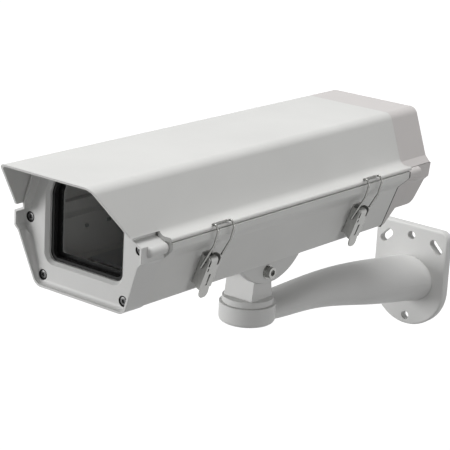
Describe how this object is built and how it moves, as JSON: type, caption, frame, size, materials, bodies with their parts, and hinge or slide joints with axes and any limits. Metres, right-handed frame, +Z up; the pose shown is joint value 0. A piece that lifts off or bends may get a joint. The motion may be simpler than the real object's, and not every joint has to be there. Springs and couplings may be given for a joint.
{
  "type": "security camera housing",
  "caption": "Weatherproof outdoor camera housing: hinged cover with a sun hood, draw latches, windowed bezel, cable glands and a cast wall arm that pans and tilts.",
  "frame": {"origin": "on the back face of the wall plate, midway between its two round bolt holes", "axes": "+Z up, +Y into the wall so the window looks along -Y, +X towards the latch side"},
  "size_m": [0.1631, 0.521, 0.2432],
  "materials": {
    "arm_paint": "light grey powder coat on a die casting, satin",
    "housing_paint": "light grey powder coat on an extrusion, satin",
    "bezel_paint": "light grey powder coat on a die casting, satin",
    "end_cap_paint": "slightly warmer grey powder coat on a die casting, satin",
    "stainless": "bright stainless sheet and wire",
    "zinc_steel": "zinc plated",
    "dark_screws": "blackened stainless",
    "window_glass": "clear toughened glass",
    "black_rubber": "matte",
    "gland_nylon": "grey nylon",
    "sled_aluminium": "bare brushed aluminium",
    "knob_plastic": "black moulded",
    "brass_screw": "bare"
  },
  "bodies": {
    "bracket": {"wall_arm": "arm_paint"},
    "swivel": {"swivel_head": "arm_paint", "pan_bolt": "zinc_steel", "pan_washer": "zinc_steel"},
    "cover": {"top_cover": "housing_paint", "cover_end_cap": "end_cap_paint", "cover_cap_screws": "dark_screws", "front_hinge_cover_leaf": "stainless", "rear_hinge_cover_leaf": "stainless", "hinge_cover_screws": "stainless"},
    "front_lever": {"front_latch_lever": "stainless"},
    "front_bail": {"front_latch_bail": "stainless"},
    "rear_lever": {"rear_latch_lever": "stainless"},
    "rear_bail": {"rear_latch_bail": "stainless"},
    "sled": {"camera_sled": "sled_aluminium", "camera_screw": "zinc_steel"},
    "housing": {"tilt_saddle": "arm_paint", "tilt_bolt": "zinc_steel", "tilt_washers": "zinc_steel", "spring_washer": "zinc_steel", "tilt_nut": "zinc_steel", "saddle_screws": "zinc_steel", "base_tray": "housing_paint", "front_bezel": "bezel_paint", "tray_end_cap": "end_cap_paint", "bezel_screws": "dark_screws", "window_gasket": "black_rubber", "window_glass": "window_glass", "window_clamp": "sled_aluminium", "clamp_screws": "zinc_steel", "cover_seal": "black_rubber", "cap_gasket": "black_rubber", "tray_cap_screws": "dark_screws", "gland_bodies": "gland_nylon", "gland_nuts": "gland_nylon", "gland_locknuts": "gland_nylon", "gland_plugs": "black_rubber", "front_hinge_tray_leaf": "stainless", "rear_hinge_tray_leaf": "stainless", "hinge_pins": "stainless", "hinge_tray_screws": "stainless", "front_latch_base": "stainless", "front_latch_pin": "stainless", "rear_latch_base": "stainless", "rear_latch_pin": "stainless", "latch_rivets": "stainless", "sled_studs": "zinc_steel", "thumb_nuts": "knob_plastic", "earth_screw": "brass_screw"}
  },
  "joints": [
    {"name": "pan", "type": "hinge", "parent": "bracket", "child": "swivel", "pos_m": [0, -0.2665, 0.035], "axis": [0, 0, 1], "range_deg": [-90, 90]},
    {"name": "tilt", "type": "hinge", "parent": "swivel", "child": "housing", "pos_m": [0, -0.2665, 0.0666], "axis": [1, 0, 0], "range_deg": [-12, 60]},
    {"name": "cover_hinge", "type": "hinge", "parent": "housing", "child": "cover", "pos_m": [-0.0789, -0.3, 0.1462], "axis": [0, -1, 0], "range_deg": [0, 100]},
    {"name": "front_lever", "type": "hinge", "parent": "housing", "child": "front_lever", "pos_m": [0.06692, -0.4017, 0.1182], "axis": [0, -1, 0], "range_deg": [0, 120]},
    {"name": "rear_lever", "type": "hinge", "parent": "housing", "child": "rear_lever", "pos_m": [0.06692, -0.2, 0.1182], "axis": [0, -1, 0], "range_deg": [0, 120]},
    {"name": "front_bail", "type": "hinge", "parent": "front_lever", "child": "front_bail", "pos_m": [0.06361, -0.4017, 0.11271], "axis": [0, -1, 0], "range_deg": [-150, 0]},
    {"name": "rear_bail", "type": "hinge", "parent": "rear_lever", "child": "rear_bail", "pos_m": [0.06361, -0.2, 0.11271], "axis": [0, -1, 0], "range_deg": [-150, 0]},
    {"name": "sled_slide", "type": "slide", "parent": "housing", "child": "sled", "axis": [0, -1, 0], "range_m": [-0.02, 0.02]}
  ],
  "couplings": [
    {"joint": "front_bail", "follows": "front_lever", "ratio": -1.25},
    {"joint": "rear_bail", "follows": "rear_lever", "ratio": -1.25}
  ]
}
